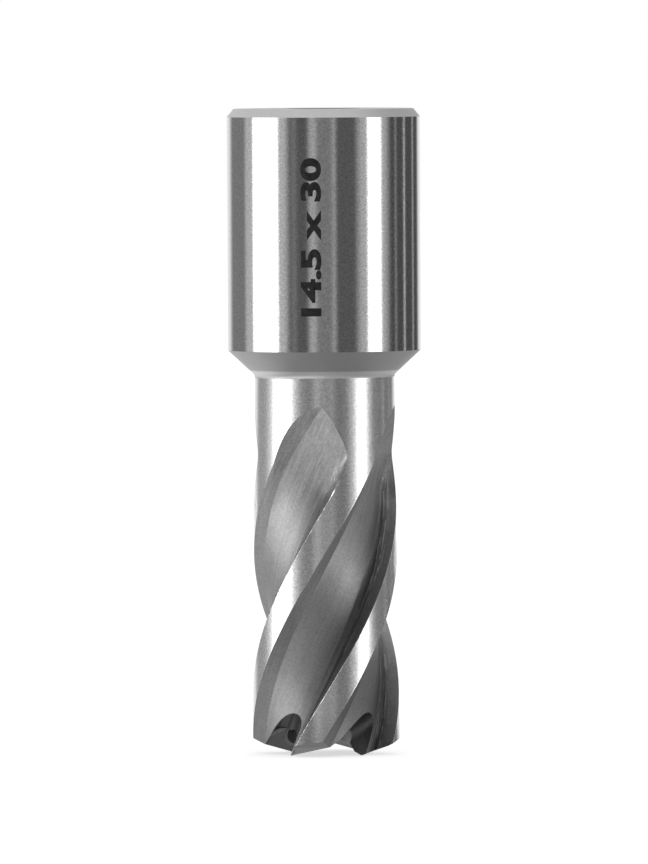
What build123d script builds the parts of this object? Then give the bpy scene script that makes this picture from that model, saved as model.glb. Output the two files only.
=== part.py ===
from build123d import *
import os
from math import asin, atan, cos, degrees, radians, sin, sqrt, tan

# Annular cutter, ground from one bar of high-speed steel.
# It stands on its tooth tips, which lie in the plane Z = 0, and its axis is Z with the shank on top.
# A cutting lip faces clockwise, seen from above, and -Y is the side that is seen from the front.

# Shank
overall_length = 63.65
shank_diameter = 19.05
shank_length = 26.25
shank_end_chamfer = 0.65
shank_end_chamfer_length = 0.8
shoulder_angle = 47.0
shoulder_fillet = 0.6

# Two set-screw flats, a quarter turn apart
flat_depth = 1.3
flat_length = 12.0
flat_distance_from_end = 6.8
flat_azimuths = (45.0, 135.0)

# Neck and body, with a slight back taper towards the neck
cutting_diameter = 14.5
neck_diameter = 13.75

# Hollow: the core bore that swallows the slug, and the ejector pin's hole through the shank
core_diameter = 7.7
core_depth = 33.0
drill_point_angle = 118.0
pin_hole_diameter = 6.5
pin_hole_chamfer = 0.4

# Helical flutes, with the section that the wheel leaves square to the helix
flute_count = 4
flute_lead = 73.0
flute_width = 7.3
heel_width = 1.3
heel_depth = 1.55
face_width = 1.15
face_depth = 2.4
face_root_radius = 0.8
flute_end_height = 27.0

# Grinding wheel where it leaves the flute
wheel_radius = 32.0
wheel_tilt = 29.5
wheel_swing = 45.0

# Teeth: a lip stands off the axis, and its end has an outer flank that hardly falls away behind it
# and an inner flank that falls fast
lip_offset = 3.55
ridge_offset = 3.45
outer_bevel_angle = 18.8
outer_relief_angle = 1.2
inner_bevel_angle = 21.2
inner_relief_angle = 28.4
corner_bevel_angle = 26.5
corner_bevel_width = 1.15

# Gullet in front of each lip, from the core bore out into the flute
gullet_width = 2.5
gullet_lean = 20.5
gullet_climb_angle = 34.4
gullet_crest_height = 4.13
gullet_crest_offset = 4.6

# Room that cutters reach past the blank
overcut = 2.0

# Values that follow
cutting_radius = cutting_diameter / 2
neck_radius = neck_diameter / 2
shank_radius = shank_diameter / 2
core_radius = core_diameter / 2
pin_hole_radius = pin_hole_diameter / 2
shoulder_bottom = overall_length - shank_length
shoulder_rise = (shank_radius - neck_radius) / tan(radians(shoulder_angle))
drill_point_rise = (core_radius - pin_hole_radius) / tan(radians(drill_point_angle / 2))

# Flute: the helix that its middle follows, and its section, with X outwards and Y towards its face
turn_per_height = 360 / flute_lead
helix_angle = atan(radians(turn_per_height) * cutting_radius)
flute_start = -overcut - flute_width / 2
flute_edge_depth = cutting_radius - sqrt(cutting_radius**2 - (flute_width / 2 * cos(helix_angle)) ** 2)
heel_edge = Vector(-flute_edge_depth, -flute_width / 2)
heel_root = Vector(-heel_depth, heel_width - flute_width / 2)
face_root = Vector(-face_depth, flute_width / 2 - face_width)
face_edge = Vector(-flute_edge_depth, flute_width / 2)
wall_rise = flute_edge_depth + overcut
heel_outside = heel_edge + (heel_edge - heel_root) * wall_rise / (heel_depth - flute_edge_depth)
face_outside = face_edge + (face_edge - face_root) * wall_rise / (face_depth - flute_edge_depth)

# Tooth ends, in section square to the lip: the outer flank's two slopes, and how far in a lip reaches
bevel_run = cutting_radius - ridge_offset - corner_bevel_width
bevel_rise = bevel_run * tan(radians(outer_bevel_angle))
eaves_run = corner_bevel_width + overcut
eaves_rise = bevel_rise + eaves_run * tan(radians(corner_bevel_angle))
outer_reach = bevel_run + eaves_run
lip_inner_offset = sqrt(core_radius**2 - lip_offset**2)
lip_outer_offset = sqrt(cutting_radius**2 - lip_offset**2)

# First lip: its tip, and the outer corner where its flute has to end
tip = Vector(-lip_offset, -ridge_offset, 0)
corner_run = lip_outer_offset - ridge_offset - bevel_run
corner_height = bevel_rise + corner_run * tan(radians(corner_bevel_angle))
corner_x = corner_height * tan(radians(gullet_lean)) - lip_offset
corner_azimuth = degrees(asin(corner_x / cutting_radius)) - 90
edge_azimuth = degrees(asin(flute_width / 2 * cos(helix_angle) / cutting_radius))
edge_height = corner_height + flute_width / 2 * sin(helix_angle)
flute_azimuth = corner_azimuth - edge_azimuth - (edge_height - flute_start) * turn_per_height


# Flute cutter: the section swept up the helix, then swung about the wheel's tilted axis
with BuildPart() as flute_cutter:
    with BuildLine() as flute_path:
        Helix(
            pitch=flute_lead,
            height=flute_end_height - flute_start,
            radius=cutting_radius,
            center=(0, 0, flute_start),
        )
    start_plane = Plane(origin=flute_path.line @ 0, x_dir=(1, 0, 0), z_dir=flute_path.line % 0)
    end_point = flute_path.line @ 1
    end_plane = Plane(origin=end_point, x_dir=(end_point.X, end_point.Y, 0), z_dir=flute_path.line % 1)
    with BuildSketch(start_plane, end_plane) as flute_section:
        with BuildLine():
            Polyline(heel_outside, heel_root, face_root, face_outside, close=True)
        make_face()
        fillet(flute_section.vertices().sort_by_distance(face_root)[0], radius=face_root_radius)
    start_face, end_face = flute_section.sketch.faces().sort_by(Axis.Z)
    sweep(start_face, path=flute_path.line, is_frenet=True)
    wheel_lift = Vector(cos(radians(wheel_tilt)), sin(radians(wheel_tilt))) * wheel_radius
    wheel_direction = Vector(-sin(radians(wheel_tilt)), cos(radians(wheel_tilt)))
    wheel_axis = Axis(
        end_plane.from_local_coords(heel_root + wheel_lift),
        end_plane.from_local_coords(wheel_direction) - end_plane.origin,
    )
    revolve(end_face, axis=wheel_axis, revolution_arc=wheel_swing)


# Gullet cutter: a round-topped slot that leans with the lip and climbs from the bore into the flute
with BuildPart() as gullet_cutter:
    across = Vector(cos(radians(gullet_lean)), 0, -sin(radians(gullet_lean)))
    up = Vector(sin(radians(gullet_lean)), 0, cos(radians(gullet_lean)))
    climb = up * sin(radians(gullet_climb_angle)) + Vector(0, -cos(radians(gullet_climb_angle)), 0)
    lip_root = Vector(gullet_crest_height * tan(radians(gullet_lean)) - lip_offset, -gullet_crest_offset)
    crest = Vector(lip_root.X, lip_root.Y, gullet_crest_height) - across * gullet_width / 2
    with BuildSketch(Plane(origin=crest, x_dir=across, z_dir=climb)):
        with Locations((0, -gullet_width / 2)):
            Circle(gullet_width / 2)
            Rectangle(gullet_width, cutting_diameter, align=(Align.CENTER, Align.MAX))
    extrude(amount=cutting_diameter, both=True)
    with Locations((0, -lip_inner_offset, 0)):
        Box(
            cutting_diameter,
            cutting_diameter,
            overall_length,
            align=(Align.CENTER, Align.MIN, Align.CENTER),
            mode=Mode.SUBTRACT,
        )


# End relief cutter: what lies below the two flanks, whose ridge starts at the tip and runs outwards
with BuildPart() as relief_cutter:
    outer_flank = [
        (0, -cutting_radius),
        (0, 0),
        (-bevel_run, bevel_rise),
        (-outer_reach, eaves_rise),
        (-outer_reach, -cutting_radius),
    ]
    inner_reach = ridge_offset - lip_inner_offset
    inner_flank = [
        (inner_reach, -cutting_radius),
        (inner_reach, inner_reach * tan(radians(inner_bevel_angle))),
        (-outer_reach, -outer_reach * tan(radians(inner_bevel_angle))),
        (-outer_reach, -cutting_radius),
    ]
    for relief_angle, flank in ((outer_relief_angle, outer_flank), (inner_relief_angle, inner_flank)):
        rise = Vector(cos(radians(relief_angle)), 0, sin(radians(relief_angle)))
        with BuildSketch(Plane(origin=tip - rise * gullet_width / 2, x_dir=(0, 1, 0), z_dir=rise)):
            with BuildLine():
                Polyline(*flank, close=True)
            make_face()
        extrude(amount=(lip_offset + lip_inner_offset) / rise.X + gullet_width / 2)


# Blank: shank, shoulder, neck and body in one turned profile, drawn on the front half away from the flats
with BuildPart() as annular_cutter:
    with BuildSketch(Plane(origin=(0, 0, 0), x_dir=(0, -1, 0), z_dir=(-1, 0, 0))) as blank:
        with BuildLine():
            Polyline(
                (0, 0),
                (cutting_radius, 0),
                (neck_radius, shoulder_bottom),
                (shank_radius, shoulder_bottom + shoulder_rise),
                (shank_radius, overall_length - shank_end_chamfer_length),
                (shank_radius - shank_end_chamfer, overall_length),
                (0, overall_length),
                close=True,
            )
        make_face()
        neck_corner = blank.vertices().sort_by_distance((neck_radius, shoulder_bottom))[0]
        fillet(neck_corner, radius=shoulder_fillet)
    revolve(axis=Axis.Z)
    with PolarLocations(0, flute_count, start_angle=flute_azimuth):
        add(flute_cutter.part, mode=Mode.SUBTRACT)

    # Core bore with its drill point, and the pin hole that runs on through the shank
    with BuildSketch(Plane.XZ):
        with BuildLine():
            Polyline(
                (0, -overcut),
                (core_radius, -overcut),
                (core_radius, core_depth),
                (pin_hole_radius, core_depth + drill_point_rise),
                (pin_hole_radius, overall_length - pin_hole_chamfer),
                (pin_hole_radius + pin_hole_chamfer, overall_length),
                (0, overall_length),
                close=True,
            )
        make_face()
    revolve(axis=Axis.Z, mode=Mode.SUBTRACT)

    # Teeth
    with PolarLocations(0, flute_count):
        add(gullet_cutter.part, mode=Mode.SUBTRACT)
        add(relief_cutter.part, mode=Mode.SUBTRACT)

    # Set-screw flats
    flat_bottom = overall_length - flat_distance_from_end - flat_length
    for azimuth in flat_azimuths:
        with BuildSketch(Plane.XY.rotated((0, 0, azimuth)).offset(flat_bottom)):
            with Locations((shank_radius - flat_depth, 0)):
                Rectangle(shank_diameter, shank_diameter, align=(Align.MIN, Align.CENTER))
        extrude(amount=flat_length, mode=Mode.SUBTRACT)

annular_cutter.part.label = "annular_cutter"

os.makedirs("parts", exist_ok=True)
export_step(annular_cutter.part, "parts/annular_cutter.step")
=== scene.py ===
import bmesh
import bpy
import math
from mathutils import Matrix, Vector


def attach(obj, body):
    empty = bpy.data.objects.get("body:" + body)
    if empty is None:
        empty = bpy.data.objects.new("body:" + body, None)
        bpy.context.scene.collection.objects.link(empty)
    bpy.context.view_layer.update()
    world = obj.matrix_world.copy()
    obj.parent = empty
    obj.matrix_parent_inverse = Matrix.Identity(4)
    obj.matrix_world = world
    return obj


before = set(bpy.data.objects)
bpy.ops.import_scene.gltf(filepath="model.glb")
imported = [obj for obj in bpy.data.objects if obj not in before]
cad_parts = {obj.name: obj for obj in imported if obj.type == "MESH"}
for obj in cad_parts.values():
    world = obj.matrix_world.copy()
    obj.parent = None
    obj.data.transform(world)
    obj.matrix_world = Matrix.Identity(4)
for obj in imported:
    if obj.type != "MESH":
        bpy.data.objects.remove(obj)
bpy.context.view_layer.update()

MM = 0.001

# Sizes of the CAD part that the materials follow, in millimetres
CUTTING_RADIUS = 7.25
NECK_RADIUS = 6.875
SHANK_RADIUS = 9.525
SHOULDER_BOTTOM = 37.4
FLUTE_LEAD = 73.0
FLUTE_END_HEIGHT = 27.0
HELIX_ANGLE = math.atan(2 * math.pi * CUTTING_RADIUS / FLUTE_LEAD)

# A land runs from a lip's edge to the next flute's heel, and with the back taper it widens with height.
# The edge's azimuth and the land's width are for height zero.
LIP_AZIMUTH = math.radians(-120.93)
LIP_DRIFT = -0.0023
LAND_WIDTH = 2.19
HEEL_DRIFT = 0.0039
EDGE_ROUNDING = 0.07
HEEL_TILT = 0.13

# The gullet's slot, in the frame of the tooth whose lip faces -X: it leans, climbs outwards and has a
# round top
GULLET_RADIUS = 1.25
GULLET_LEAN = math.radians(20.5)
GULLET_CLIMB = math.radians(34.4)
GULLET_CREST = Vector((-3.177, -4.6, 4.568))
GULLET_AZIMUTH = math.radians(-136.0)

# Grey of each finish. The corner is the fillet between the neck and the shoulder.
FLUTE_TONE = (0.42, 0.50)
# The bores' grey is painted shade, far darker than their steel
BORE_PAINTED_SHADE_TONE = (0.12, 0.24)
SHANK_TONE = 0.58
LAND_TONE = 0.82
TURNED_TONE = 0.54
CORNER_TONE = 0.95

# What that grey is multiplied by, as painted shade and painted light: darker in a flute's root, in a flute
# from darker at the teeth to lighter at the neck, in a gullet darker where it faces down and lighter where it
# faces up, darker on a tooth's outer and most on its inner flank, and darker at the teeth's end of a land
ROOT_SHADE = 0.52
HEIGHT_SHADE = (0.88, 1.24)
GULLET_SHADE_AND_LIGHT = (0.38, 1.35)
FLANK_SHADE = (0.70, 0.30)
LAND_END_SHADE = 0.72

FLUTE_ROUGHNESS = 0.45
FACE_ROUGHNESS = 0.28
LAND_ROUGHNESS = 0.19
SHANK_ROUGHNESS = 0.06
TURNED_ROUGHNESS = 0.42
BORE_ROUGHNESS = 0.45
TOOTH_ROUGHNESS = 0.38
RUN_OUT_BLEND = 1.3


class Graph:
    """Short calls for building a node tree; a value may be a number or another node's output."""

    def __init__(self, tree):
        self.tree = tree
        tree.nodes.clear()

    def node(self, kind, **settings):
        made = self.tree.nodes.new(kind)
        for key, value in settings.items():
            setattr(made, key, value)
        return made

    def put(self, socket, value):
        if isinstance(value, bpy.types.NodeSocket):
            self.tree.links.new(value, socket)
        else:
            socket.default_value = value

    def math(self, operation, *values):
        made = self.node("ShaderNodeMath", operation=operation)
        for socket, value in zip(made.inputs, values):
            self.put(socket, value)
        return made.outputs[0]

    def add(self, a, b):
        return self.math("ADD", a, b)

    def sub(self, a, b):
        return self.math("SUBTRACT", a, b)

    def mul(self, a, b):
        return self.math("MULTIPLY", a, b)

    def step(self, value, low, high, out_low=0.0, out_high=1.0):
        """Runs smoothly from out_low at low to out_high at high."""
        made = self.node("ShaderNodeMapRange", interpolation_type="SMOOTHSTEP")
        for socket, v in zip(made.inputs, (value, low, high, out_low, out_high)):
            self.put(socket, v)
        return made.outputs[0]

    def inside(self, value, low, high, soft):
        """1 between low and high, with both ends soft."""
        above_low = self.step(value, low - soft, low + soft)
        below_high = self.step(value, high - soft, high + soft, 1.0, 0.0)
        return self.mul(above_low, below_high)

    def mix(self, factor, a, b):
        """A number that goes from a to b."""
        made = self.node("ShaderNodeMix", data_type="FLOAT")
        for socket, v in zip((made.inputs[0], made.inputs[2], made.inputs[3]), (factor, a, b)):
            self.put(socket, v)
        return made.outputs[0]

    def dot(self, vector, direction):
        made = self.node("ShaderNodeVectorMath", operation="DOT_PRODUCT")
        self.put(made.inputs[0], vector)
        self.put(made.inputs[1], direction)
        return made.outputs["Value"]

    def combine(self, x, y, z):
        made = self.node("ShaderNodeCombineXYZ")
        for socket, v in zip(made.inputs, (x, y, z)):
            self.put(socket, v)
        return made.outputs[0]

    def noise(self, vector, scale, detail=2.0, roughness=0.5):
        made = self.node("ShaderNodeTexNoise")
        self.put(made.inputs["Vector"], vector)
        self.put(made.inputs["Scale"], scale)
        self.put(made.inputs["Detail"], detail)
        self.put(made.inputs["Roughness"], roughness)
        return made.outputs[0]

    def grey(self, value):
        made = self.node("ShaderNodeCombineColor")
        for socket in made.inputs:
            self.put(socket, value)
        return made.outputs[0]


def ground_steel():
    """High-speed steel with the finish that each region's own machining leaves, and with painted shade and
    light.
    """
    material = bpy.data.materials.new("ground_steel")
    material.use_nodes = True
    g = Graph(material.node_tree)
    out = g.node("ShaderNodeOutputMaterial")
    steel = g.node("ShaderNodeBsdfPrincipled")
    g.put(out.inputs["Surface"], steel.outputs[0])

    # Place in millimetres, as radius, angle and height, and the surface's direction in the same three ways
    place = g.node("ShaderNodeSeparateXYZ")
    scaled = g.node("ShaderNodeVectorMath", operation="SCALE")
    g.put(scaled.inputs[0], g.node("ShaderNodeTexCoord").outputs["Object"])
    g.put(scaled.inputs["Scale"], 1.0 / MM)
    g.put(place.inputs[0], scaled.outputs[0])
    x, y, z = place.outputs
    radius = g.math("SQRT", g.add(g.mul(x, x), g.mul(y, y)))
    angle = g.math("ARCTAN2", y, x)
    facing = g.node("ShaderNodeSeparateXYZ")
    g.put(facing.inputs[0], g.node("ShaderNodeNewGeometry").outputs["Normal"])
    nx, ny, nz = facing.outputs
    outward = g.math("DIVIDE", g.add(g.mul(x, nx), g.mul(y, ny)), radius)
    sideways = g.math("DIVIDE", g.sub(g.mul(x, ny), g.mul(y, nx)), radius)

    # Regions: the ground neck and lands, the ground shank, the bores, the turned bevels and the neck's fillet
    taper = (CUTTING_RADIUS - NECK_RADIUS) / SHOULDER_BOTTOM
    below = g.sub(g.sub(CUTTING_RADIUS, g.mul(z, taper)), radius)
    land = g.mul(g.step(below, 0.10, 0.14, 1.0, 0.0), g.step(outward, 0.975, 0.99))
    land = g.mul(land, g.step(z, SHOULDER_BOTTOM, SHOULDER_BOTTOM + 0.2, 1.0, 0.0))
    shank = g.mul(g.step(radius, SHANK_RADIUS - 0.05, SHANK_RADIUS - 0.03), g.step(outward, 0.975, 0.99))
    ground = g.math("MAXIMUM", land, shank)
    bore = g.mul(g.step(outward, -0.5, -0.1, 1.0, 0.0), g.step(radius, 4.0, 4.3, 1.0, 0.0))
    above = g.step(z, SHOULDER_BOTTOM - 0.1, SHOULDER_BOTTOM + 0.1)
    turned = g.mul(above, g.step(g.math("ABSOLUTE", nz), 0.15, 0.35))
    corner = g.inside(z, SHOULDER_BOTTOM - 0.2, SHOULDER_BOTTOM + 0.5, 0.1)
    corner = g.mul(corner, g.step(nz, -0.12, -0.04, 1.0, 0.0))

    # A gullet's wall is where the distance from its slot is nil
    quarter = g.math("ROUND", g.mul(g.sub(angle, GULLET_AZIMUTH), 2.0 / math.pi))
    local = g.sub(angle, g.mul(quarter, math.pi / 2))
    here = g.combine(g.mul(radius, g.math("COSINE", local)), g.mul(radius, g.math("SINE", local)), z)
    slot_across = Vector((math.cos(GULLET_LEAN), 0.0, -math.sin(GULLET_LEAN)))
    slot_up = Vector((math.sin(GULLET_LEAN), 0.0, math.cos(GULLET_LEAN))) * math.cos(GULLET_CLIMB)
    slot_up.y = math.sin(GULLET_CLIMB)
    slot_side = g.sub(g.dot(here, slot_across), GULLET_CREST.dot(slot_across))
    slot_rise = g.math("MAXIMUM", g.sub(g.dot(here, slot_up), GULLET_CREST.dot(slot_up) - GULLET_RADIUS), 0.0)
    slot_reach = g.math("SQRT", g.add(g.mul(slot_side, slot_side), g.mul(slot_rise, slot_rise)))
    slot_distance = g.math("ABSOLUTE", g.sub(slot_reach, GULLET_RADIUS))
    gullet = g.mul(g.step(slot_distance, 0.03, 0.06, 1.0, 0.0), g.step(z, 6.5, 7.0, 1.0, 0.0))
    tooth_end = g.mul(g.step(z, 5.5, 6.0, 1.0, 0.0), g.step(nz, -0.75, -0.6, 1.0, 0.0))

    # The two flanks of a tooth's end differ in azimuth by an eighth of a turn
    level_part = g.add(g.mul(nx, nx), g.mul(ny, ny))
    slanting = g.math("DIVIDE", g.mul(g.mul(nx, nx), g.mul(ny, ny)), g.mul(level_part, level_part))
    inner_flank = g.mul(tooth_end, g.step(slanting, 0.12, 0.20))

    # Cylindrical grinding: fine rings, broken up along their length, and a fine grain
    rings = g.noise(g.combine(g.mul(angle, 6.0), g.mul(z, 30.0), 0.0), 1.0, 3.0, 0.6)
    fine_rings = g.noise(g.combine(g.mul(angle, 3.0), g.mul(z, 30.0), g.mul(radius, 30.0)), 1.0, 2.0, 0.6)
    grain = g.noise(g.combine(g.mul(angle, 30.0), g.mul(z, 5.0), radius), 1.0, 4.0, 0.7)
    speckle = g.noise(scaled.outputs[0], 5.0, 4.0, 0.75)
    clouds = g.noise(scaled.outputs[0], 0.5, 3.0, 0.6)

    # Flute grinding: lines that follow the helix, in bundles of uneven depth
    turn = g.sub(angle, g.mul(z, 2 * math.pi / FLUTE_LEAD))
    across = g.mul(turn, 7.0)
    lines = g.noise(g.combine(g.mul(across, 3.6), g.mul(z, 0.20), g.mul(radius, 3.6)), 1.0, 2.0, 0.6)
    bundles = g.noise(g.combine(g.mul(across, 0.7), g.mul(z, 0.10), g.mul(radius, 0.7)), 1.0, 1.0, 0.5)
    scratches = g.mul(g.step(lines, 0.56, 0.66), g.step(bundles, 0.45, 0.60))
    fine_lines = g.noise(g.combine(g.mul(across, 6.0), g.mul(z, 0.25), g.mul(radius, 6.0)), 1.0, 2.0, 0.6)

    # Deeper scratches on the face, towards its root, also painted lighter as painted glints
    deep_scratches_and_painted_glints = g.mul(g.step(fine_lines, 0.53, 0.60), g.step(bundles, 0.40, 0.52))
    deep_scratches_and_painted_glints = g.mul(deep_scratches_and_painted_glints, g.mul(g.step(sideways, -0.70, -0.45, 1.0, 0.0), g.step(below, 0.6, 1.0)))
    deep_scratches_and_painted_glints = g.mul(deep_scratches_and_painted_glints, g.sub(1.0, gullet))

    # The flute wall that ends in the lip's edge is smoother
    face_wall = g.mul(g.step(sideways, -0.80, -0.68, 1.0, 0.0), g.step(z, 26.0, 28.0, 1.0, 0.0))

    # Both edges of a land are a little rounded, unevenly where the lip's burr has broken off
    from_lip = g.math("WRAP", g.sub(turn, LIP_AZIMUTH), math.pi / 2 - 0.6, -0.6)
    from_lip = g.mul(from_lip, g.mul(radius, math.cos(HELIX_ANGLE)))
    chips = g.noise(g.combine(g.mul(z, 2.2), angle, 0.0), 1.0, 3.0, 0.7)
    past_lip = g.sub(from_lip, g.mul(z, LIP_DRIFT))
    past_heel = g.sub(from_lip, g.add(g.mul(z, HEEL_DRIFT), LAND_WIDTH))
    lip_edge = g.step(past_lip, 0.0, g.mix(g.step(chips, 0.42, 0.75), 0.02, 0.13), 1.0, 0.0)
    lip_edge = g.mul(g.mul(lip_edge, g.step(past_lip, -0.2, -0.1)), g.step(z, 25.5, 27.5, 1.0, 0.0))
    heel_edge = g.mul(g.step(past_heel, -EDGE_ROUNDING, 0.0), g.step(past_heel, 0.1, 0.2, 1.0, 0.0))
    heel_edge = g.mul(heel_edge, g.step(z, 24.0, 28.0, 1.0, 0.0))
    edge_tilt = g.mul(land, g.sub(g.mul(heel_edge, HEEL_TILT), lip_edge))

    # Grey
    flute_tone = g.add(g.mix(clouds, *FLUTE_TONE), g.mul(g.sub(speckle, 0.5), 0.45))
    flute_tone = g.add(flute_tone, g.mul(g.sub(lines, 0.5), g.step(z, 22.0, 28.0, 0.14, 0.34)))
    # The deeper scratches are painted lighter here: painted glints
    flute_tone = g.add(flute_tone, g.add(g.mul(scratches, 0.03), g.mul(deep_scratches_and_painted_glints, 0.45)))
    # Painted shade: a flute's root is darker, as occlusion
    root = g.mul(g.step(below, 0.9, 1.6), g.step(sideways, -0.30, 0.14, 1.0, 0.0))
    root = g.mul(root, g.step(z, 24.0, 28.0, 1.0, 0.0))
    flute_tone = g.mul(flute_tone, g.mix(root, 1.0, ROOT_SHADE))
    # Painted shade and light: a flute is darker at the teeth and lighter towards the neck
    flute_tone = g.mul(flute_tone, g.step(z, 4.0, 30.0, *HEIGHT_SHADE))
    # Painted shade and light: a gullet is darker where it faces down and lighter where it faces up
    flute_tone = g.mul(flute_tone, g.mix(gullet, 1.0, g.mix(g.step(nz, -0.4, 0.3), *GULLET_SHADE_AND_LIGHT)))
    # Painted shade: both flanks of a tooth's end are darker, the inner one most
    flute_tone = g.mul(flute_tone, g.mix(tooth_end, 1.0, g.mix(inner_flank, *FLANK_SHADE)))
    ground_tone = g.add(g.mix(land, SHANK_TONE, LAND_TONE), g.mul(g.sub(rings, 0.5), 0.12))
    ground_tone = g.add(ground_tone, g.mul(g.sub(speckle, 0.5), g.mix(land, 0.80, 1.00)))
    # Painted shade: a land is darker over its last 6 mm to the teeth
    ground_tone = g.mul(ground_tone, g.step(z, 0.0, 6.0, LAND_END_SHADE, 1.0))
    tone = g.mix(ground, flute_tone, ground_tone)
    tone = g.mix(turned, tone, g.add(TURNED_TONE, g.mul(fine_rings, 0.08)))
    # Painted shade: the bore is painted dark, with rings
    tone = g.mix(bore, tone, g.mix(rings, *BORE_PAINTED_SHADE_TONE))
    tone = g.mix(corner, tone, CORNER_TONE)
    g.put(steel.inputs["Base Color"], g.grey(tone))
    g.put(steel.inputs["Metallic"], g.mix(land, 1.0, 0.90))

    rough = g.add(g.mix(face_wall, FLUTE_ROUGHNESS, FACE_ROUGHNESS), g.mul(bundles, 0.12))
    rough = g.mix(land, rough, g.add(LAND_ROUGHNESS, g.mul(speckle, 0.10)))
    rough = g.mix(shank, rough, g.add(SHANK_ROUGHNESS, g.mul(speckle, 0.06)))
    rough = g.mix(turned, rough, TURNED_ROUGHNESS)
    rough = g.mix(bore, rough, BORE_ROUGHNESS)
    rough = g.mix(tooth_end, rough, TOOTH_ROUGHNESS)
    g.put(steel.inputs["Roughness"], rough)

    # The wheel's run-out blends into the flute below it
    rounded = g.node("ShaderNodeBevel", samples=8)
    rounded.inputs["Radius"].default_value = RUN_OUT_BLEND * MM
    run_out = g.inside(z, FLUTE_END_HEIGHT - 2.6, FLUTE_END_HEIGHT + 2.2, 0.7)
    run_out = g.mul(run_out, g.step(below, 0.35, 0.7))
    run_out = g.mul(run_out, g.step(sideways, 0.42, 0.55, 1.0, 0.0))
    blended = g.node("ShaderNodeMix", data_type="VECTOR")
    g.put(blended.inputs[0], run_out)
    g.put(blended.inputs[4], g.node("ShaderNodeNewGeometry").outputs["Normal"])
    g.put(blended.inputs[5], rounded.outputs[0])

    # The ground surfaces are true cylinders and cones, so their direction comes from the place on them
    out_x, out_y = g.math("DIVIDE", x, radius), g.math("DIVIDE", y, radius)
    tilted = g.node("ShaderNodeVectorMath", operation="NORMALIZE")
    tilted_x = g.sub(out_x, g.mul(edge_tilt, out_y))
    tilted_y = g.add(out_y, g.mul(edge_tilt, out_x))
    g.put(tilted.inputs[0], g.combine(tilted_x, tilted_y, g.mul(land, taper)))
    smooth = g.node("ShaderNodeMix", data_type="VECTOR")
    g.put(smooth.inputs[0], ground)
    g.put(smooth.inputs[4], blended.outputs[1])
    g.put(smooth.inputs[5], tilted.outputs[0])

    # Relief in millimetres
    ground_height = g.add(g.mul(rings, 0.0015), g.mul(grain, 0.0028))
    flute_height = g.add(g.mul(lines, 0.006), g.mul(deep_scratches_and_painted_glints, 0.040))
    height = g.mix(ground, flute_height, ground_height)
    height = g.mix(turned, height, g.mul(fine_rings, 0.004))
    bump = g.node("ShaderNodeBump")
    bump.inputs["Strength"].default_value = 1.0
    bump.inputs["Distance"].default_value = MM
    g.put(bump.inputs["Height"], height)
    g.put(bump.inputs["Normal"], smooth.outputs[1])
    g.put(steel.inputs["Normal"], bump.outputs[0])
    return material


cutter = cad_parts["annular_cutter"]
steel = ground_steel()
for material_slot in cutter.material_slots:
    material_slot.link = "OBJECT"
    material_slot.material = steel


# Marking: plain digits, the cutting diameter and the depth of cut in millimetres, read from below upwards
def marking_black():
    material = bpy.data.materials.new("marking_black")
    material.use_nodes = True
    g = Graph(material.node_tree)
    out = g.node("ShaderNodeOutputMaterial")
    ink = g.node("ShaderNodeBsdfPrincipled")
    g.put(out.inputs["Surface"], ink.outputs[0])
    place = g.node("ShaderNodeTexCoord").outputs["Object"]
    grain = g.noise(place, 9000.0, 4.0, 0.7)
    patches = g.noise(place, 1800.0, 2.0, 0.5)
    ink.inputs["Specular IOR Level"].default_value = 0.2
    g.put(ink.inputs["Base Color"], g.grey(g.add(0.006, g.mul(g.mul(grain, patches), 0.10))))
    g.put(ink.inputs["Roughness"], g.add(0.45, g.mul(grain, 0.25)))
    bump = g.node("ShaderNodeBump")
    bump.inputs["Distance"].default_value = 0.004 * MM
    g.put(bump.inputs["Height"], grain)
    g.put(ink.inputs["Normal"], bump.outputs[0])
    return material


MARK_LOW, MARK_HIGH = 43.4, 58.9
MARK_HEIGHT = 2.07
MARK_AZIMUTH = math.radians(-97.7)
MARK_BOTTOM, MARK_TOP = SHANK_RADIUS - 0.01, SHANK_RADIUS + 0.004
MARK_BOLDNESS = 0.045
MARK_STRIPS = 8


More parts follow.
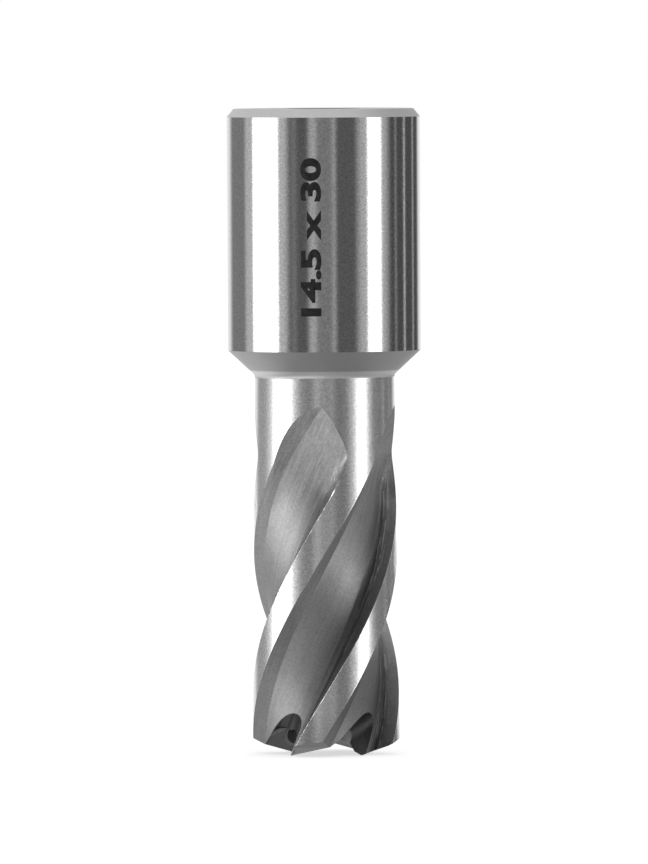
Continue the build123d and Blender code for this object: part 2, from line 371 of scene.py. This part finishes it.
def marking(words):
    """Flat letters, cut into strips so that they bend round the shank, and given thickness."""
    text = bpy.data.curves.new("size_mark", "FONT")
    text.body = words
    text.size = 1.0
    text.offset = MARK_BOLDNESS
    text.resolution_u = 6
    flat = bpy.data.objects.new("size_mark_flat", text)
    bpy.context.scene.collection.objects.link(flat)
    bpy.context.view_layer.update()
    mesh = bpy.data.meshes.new_from_object(flat.evaluated_get(bpy.context.evaluated_depsgraph_get()))
    bpy.data.objects.remove(flat)
    work = bmesh.new()
    work.from_mesh(mesh)
    xs = [v.co.x for v in work.verts]
    ys = [v.co.y for v in work.verts]
    along = (MARK_HIGH - MARK_LOW) / (max(xs) - min(xs))
    tall = MARK_HEIGHT / (max(ys) - min(ys))
    for v in work.verts:
        v.co = Vector(((v.co.x - min(xs)) * along, (v.co.y - min(ys)) * tall, 0.0))
    for k in range(1, MARK_STRIPS):
        bmesh.ops.bisect_plane(
            work,
            geom=work.verts[:] + work.edges[:] + work.faces[:],
            plane_co=(0.0, MARK_HEIGHT * k / MARK_STRIPS, 0.0),
            plane_no=(0.0, 1.0, 0.0),
        )
    bmesh.ops.triangulate(work, faces=work.faces[:])
    raised = bmesh.ops.extrude_face_region(work, geom=work.faces[:])
    for v in raised["geom"]:
        if isinstance(v, bmesh.types.BMVert):
            v.co.z = 1.0
    for v in work.verts:
        radius = MARK_BOTTOM + (MARK_TOP - MARK_BOTTOM) * v.co.z
        turn = MARK_AZIMUTH - (v.co.y - MARK_HEIGHT / 2) / SHANK_RADIUS
        v.co = Vector((radius * math.cos(turn), radius * math.sin(turn), MARK_LOW + v.co.x)) * MM
    bmesh.ops.recalc_face_normals(work, faces=work.faces[:])
    work.to_mesh(mesh)
    work.free()
    mark = bpy.data.objects.new("size_mark", mesh)
    bpy.context.scene.collection.objects.link(mark)
    mark.data.materials.clear()
    mark.data.materials.append(marking_black())
    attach(mark, "root")


marking("14.5 x 30")


# Floor: pale, with a glow that only the camera sees and that leaves little of the object's shadow. The steel
# doesn't reflect it, and it casts no shadow, so the soft boxes also light the steel from below its level
FLOOR_SIZE = 6.0
FLOOR_GREY = 0.85
FLOOR_GLOW = 0.62


def pale_floor():
    material = bpy.data.materials.new("pale_floor")
    material.use_nodes = True
    g = Graph(material.node_tree)
    out = g.node("ShaderNodeOutputMaterial")
    matt = g.node("ShaderNodeBsdfDiffuse")
    matt.inputs["Color"].default_value = (FLOOR_GREY, FLOOR_GREY, FLOOR_GREY, 1.0)
    white = g.node("ShaderNodeEmission")
    white.inputs["Color"].default_value = (1.0, 1.0, 1.0, 1.0)
    seen = g.node("ShaderNodeLightPath").outputs["Is Camera Ray"]
    g.put(white.inputs["Strength"], g.mul(seen, FLOOR_GLOW))
    both = g.node("ShaderNodeAddShader")
    g.put(both.inputs[0], matt.outputs[0])
    g.put(both.inputs[1], white.outputs[0])
    g.put(out.inputs["Surface"], both.outputs[0])
    return material


bpy.ops.mesh.primitive_plane_add(size=FLOOR_SIZE, location=(0.0, 0.0, 0.0))
floor = bpy.context.object
floor.name = "floor"
floor.data.materials.append(pale_floor())
floor.visible_glossy = False
floor.visible_shadow = False


# Studio that the steel reflects: white behind, dim in front with a few cards, and a tall soft box on each
# side. All of it is set to the photograph's reflections. The camera sees plain white instead, and all
# other rays see one level all round, besides the boxes.
OTHER_LEVEL = 0.55
BACKDROP_LEVEL = 1.0
FRONT_LEVEL = 0.14
CEILING_FRONT_LEVEL = 0.03
ZENITH_LEVEL = 1.25
GROUND_FRONT_LEVEL = 0.24
GROUND_PATCH_LEVEL = 0.72

# From left to right
SIDE_LEVELS = (0.28, 0.10)
CEILING_LEVELS = (0.92, 0.58)
GROUND_BACK_LEVELS = (0.70, 0.40)

# Each card: azimuth in degrees from the camera's side, to the right, half its width, the softness of its
# sides, and its level
CARDS = (
    (-76.9, 33.6, 7.0, 0.68),
    (-36.0, 5.0, 5.0, 0.26),
    (62.0, 22.0, 8.0, 0.60),
    (-13.0, 6.0, 4.0, 0.54),
    (0.0, 12.0, 3.0, 0.28),
    (12.0, 3.0, 2.0, 0.48),
    (96.0, 1.0, 0.6, 0.50),
    (112.5, 1.0, 0.6, 1.10),
    (133.5, 1.6, 0.8, 0.60),
)


def studio_world():
    world = bpy.data.worlds.new("studio")
    bpy.context.scene.world = world
    world.use_nodes = True
    g = Graph(world.node_tree)
    out = g.node("ShaderNodeOutputWorld")
    sky = g.node("ShaderNodeBackground")
    g.put(out.inputs["Surface"], sky.outputs[0])
    direction = g.node("ShaderNodeSeparateXYZ")
    g.put(direction.inputs[0], g.node("ShaderNodeTexCoord").outputs["Generated"])
    x, y, z = direction.outputs
    path = g.node("ShaderNodeLightPath")
    azimuth = g.mul(g.math("ARCTAN2", x, g.mul(y, -1.0)), 180.0 / math.pi)
    sides = g.mix(g.step(x, -0.6, 0.4), *SIDE_LEVELS)
    level = g.mix(g.step(y, -0.6, 0.1), FRONT_LEVEL, sides)
    for middle, half, soft, card_level in CARDS:
        card = g.inside(azimuth, middle - half, middle + half, soft)
        level = g.math("MAXIMUM", level, g.mul(card, card_level))
    backdrop = g.mix(g.step(x, -0.3, 0.3), g.step(y, 0.76, 0.92), g.step(y, 0.82, 0.93))
    level = g.mix(backdrop, level, BACKDROP_LEVEL)

    # Above
    overhead = g.mix(g.step(z, 0.75, 0.97), g.mix(g.step(x, -0.5, 0.6), *CEILING_LEVELS), ZENITH_LEVEL)
    ceiling = g.mix(g.step(g.add(y, g.mul(z, 0.9)), 0.30, 0.58), CEILING_FRONT_LEVEL, overhead)
    level = g.mix(g.step(z, 0.03, 0.18), level, ceiling)

    # Below, with a brighter patch in front on the left
    left_patch = g.mul(g.step(x, -0.35, 0.20, 1.0, 0.0), g.step(y, -0.55, -0.15, 1.0, 0.0))
    front_ground = g.mix(left_patch, GROUND_FRONT_LEVEL, GROUND_PATCH_LEVEL)
    back_ground = g.mix(g.step(x, -0.4, 0.5), *GROUND_BACK_LEVELS)
    ground = g.mix(g.step(y, 0.1, 0.6), front_ground, back_ground)
    level = g.mix(g.step(z, -0.40, -0.12, 1.0, 0.0), level, ground)

    # Only reflections see all this
    level = g.mix(path.outputs["Is Glossy Ray"], OTHER_LEVEL, level)
    level = g.mix(path.outputs["Is Camera Ray"], level, 1.0)
    g.put(sky.inputs["Color"], g.grey(level))
    sky.inputs["Strength"].default_value = 1.0
    world.cycles.sampling_method = "NONE"


BOX_DISTANCE = 1.0
BOX_LOW, BOX_HIGH = -0.34, 0.12
BOX_RADIANCE = 1.9


def soft_box(name, azimuth, spread):
    """A tall lamp whose front faces the axis; azimuth counts from the camera's side, to the right."""
    turn = math.radians(azimuth)
    width = 2 * BOX_DISTANCE * math.tan(math.radians(spread / 2))
    lamp = bpy.data.lights.new(name, "AREA")
    lamp.shape = "RECTANGLE"
    lamp.size = width
    lamp.size_y = BOX_HIGH - BOX_LOW
    lamp.energy = BOX_RADIANCE * math.pi * width * (BOX_HIGH - BOX_LOW)
    holder = bpy.data.objects.new(name, lamp)
    bpy.context.scene.collection.objects.link(holder)
    middle = (BOX_LOW + BOX_HIGH) / 2
    holder.location = (BOX_DISTANCE * math.sin(turn), -BOX_DISTANCE * math.cos(turn), middle)
    holder.rotation_euler = (math.pi / 2, 0.0, turn)


studio_world()
soft_box("left_box", azimuth=-75.0, spread=37.5)
soft_box("right_box", azimuth=63.0, spread=18.5)

# Camera: long lens, almost level with the shank, with the photograph's slight roll
FRAME_WIDTH, FRAME_HEIGHT = 648, 864
PIXELS_PER_MM = 10.14
DISTANCE = 1270.0 * MM
ELEVATION = math.radians(2.0)
ROLL = math.radians(0.287)
TARGET = Vector((0.0, 0.0, 31.8 * MM))
TARGET_COLUMN, TARGET_ROW = 324.85, 431.5

back = Vector((0.0, -math.cos(ELEVATION), math.sin(ELEVATION)))
right = Vector((1.0, 0.0, 0.0))
up = back.cross(right)
rolled_right = right * math.cos(ROLL) - up * math.sin(ROLL)
rolled_up = right * math.sin(ROLL) + up * math.cos(ROLL)
lens = bpy.data.cameras.new("camera")
lens.sensor_width = 36.0
lens.lens = PIXELS_PER_MM / MM * DISTANCE * lens.sensor_width / FRAME_HEIGHT
lens.shift_x = (FRAME_WIDTH / 2 - TARGET_COLUMN) / FRAME_HEIGHT
lens.shift_y = (TARGET_ROW - FRAME_HEIGHT / 2) / FRAME_HEIGHT
lens.clip_start = 0.1
lens.clip_end = 50.0
camera = bpy.data.objects.new("camera", lens)
bpy.context.scene.collection.objects.link(camera)
rotation = Matrix((rolled_right, rolled_up, back)).transposed()
camera.matrix_world = Matrix.Translation(TARGET + back * DISTANCE) @ rotation.to_4x4()
bpy.context.scene.camera = camera
bpy.context.scene.view_settings.view_transform = "Standard"
